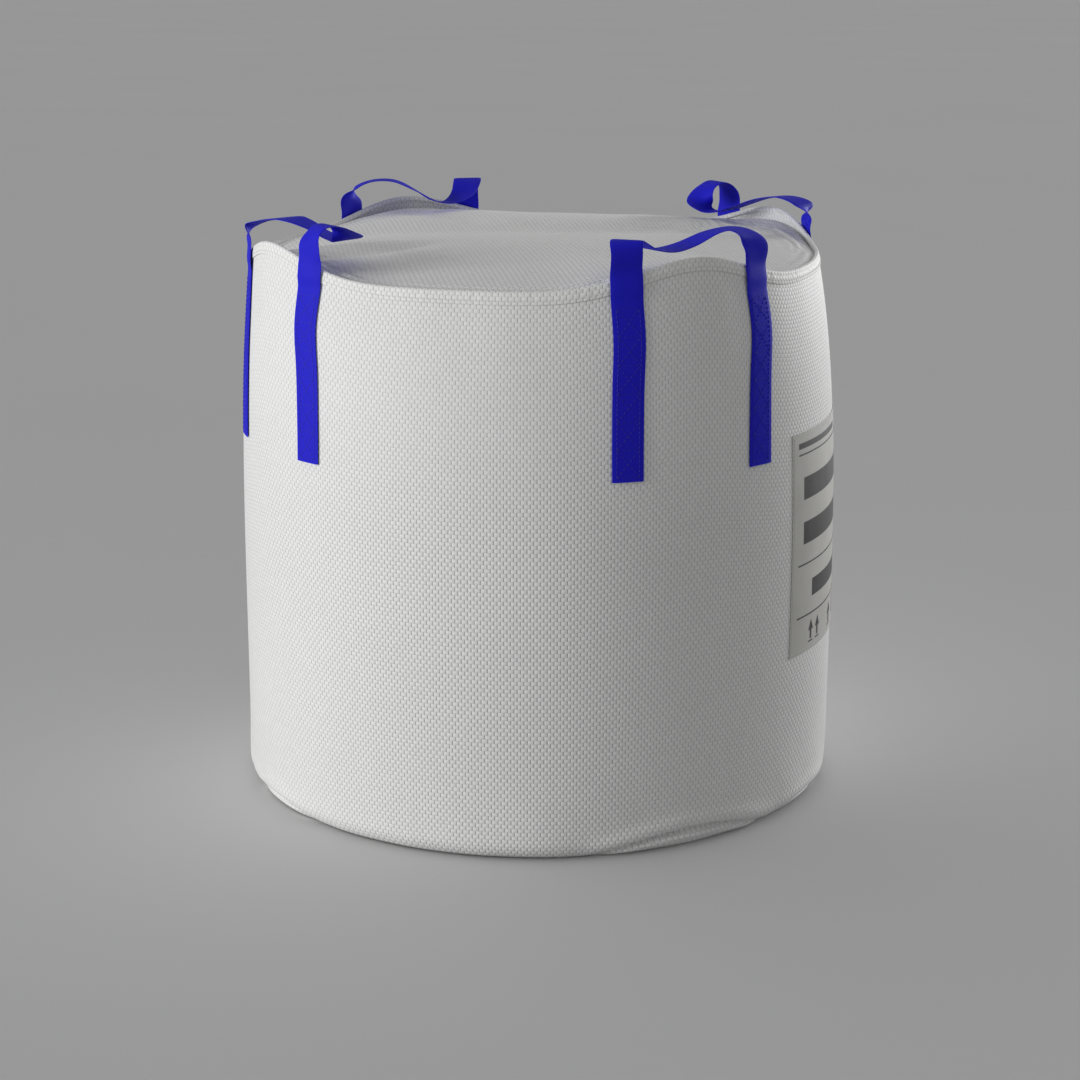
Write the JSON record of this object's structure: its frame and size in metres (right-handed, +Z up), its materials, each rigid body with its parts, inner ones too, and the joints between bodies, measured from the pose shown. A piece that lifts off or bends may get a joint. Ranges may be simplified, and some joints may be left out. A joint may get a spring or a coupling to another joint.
{
  "type": "bulk bag",
  "caption": "Filled round woven bulk bag with cross-corner webbing lifting loops that swing on the rim, a sewn label, an inner liner and its fill.",
  "frame": {"origin": "on the floor, in the middle of the bag's flat underside", "axes": "+Z up; -Y is the front panel; +X is the side with the label"},
  "size_m": [1.1192, 1.116, 1.0877],
  "materials": {
    "woven_fabric": "matte woven polypropylene",
    "hem_fabric": "matte folded woven polypropylene",
    "seam_cord": "matte twisted cord",
    "sewing_thread": "matte thread",
    "liner_film": "smooth film",
    "fill_granules": "loose granules",
    "webbing": "satin woven webbing",
    "loop_thread": "matte thread",
    "label_sheet": "matte coated sheet",
    "label_ink": "printed ink"
  },
  "bodies": {
    "bag": {"body_tube": "woven_fabric", "base_panel": "woven_fabric", "base_seam_cord": "seam_cord", "top_panel": "woven_fabric", "rim_hem": "hem_fabric", "rim_cord": "seam_cord", "rim_stitching": "sewing_thread", "inner_liner": "liner_film", "liner_tie": "seam_cord", "bulk_fill": "fill_granules", "label_panel": "label_sheet", "label_print": "label_ink", "label_stitching": "sewing_thread", "strap_leg_fl_a": "webbing", "strap_stitching_fl_a": "loop_thread", "strap_leg_fl_b": "webbing", "strap_stitching_fl_b": "loop_thread", "strap_leg_fr_a": "webbing", "strap_stitching_fr_a": "loop_thread", "strap_leg_fr_b": "webbing", "strap_stitching_fr_b": "loop_thread", "strap_leg_br_a": "webbing", "strap_stitching_br_a": "loop_thread", "strap_leg_br_b": "webbing", "strap_stitching_br_b": "loop_thread", "strap_leg_bl_a": "webbing", "strap_stitching_bl_a": "loop_thread", "strap_leg_bl_b": "webbing", "strap_stitching_bl_b": "loop_thread"},
    "loop_fl": {"lifting_loop_fl": "webbing"},
    "loop_fr": {"lifting_loop_fr": "webbing"},
    "loop_br": {"lifting_loop_br": "webbing"},
    "loop_bl": {"lifting_loop_bl": "webbing"}
  },
  "joints": [
    {"name": "loop_fl_swing", "type": "hinge", "parent": "bag", "child": "loop_fl", "pos_m": [-0.37598, -0.37598, 1.03069], "axis": [0.7071, -0.7071, 0], "range_deg": [0, 140]},
    {"name": "loop_fr_swing", "type": "hinge", "parent": "bag", "child": "loop_fr", "pos_m": [0.37598, -0.37598, 1.03069], "axis": [0.7071, 0.7071, 0], "range_deg": [0, 140]},
    {"name": "loop_br_swing", "type": "hinge", "parent": "bag", "child": "loop_br", "pos_m": [0.37598, 0.37598, 1.03069], "axis": [-0.7071, 0.7071, 0], "range_deg": [0, 140]},
    {"name": "loop_bl_swing", "type": "hinge", "parent": "bag", "child": "loop_bl", "pos_m": [-0.37598, 0.37598, 1.03069], "axis": [-0.7071, -0.7071, 0], "range_deg": [0, 140]}
  ]
}
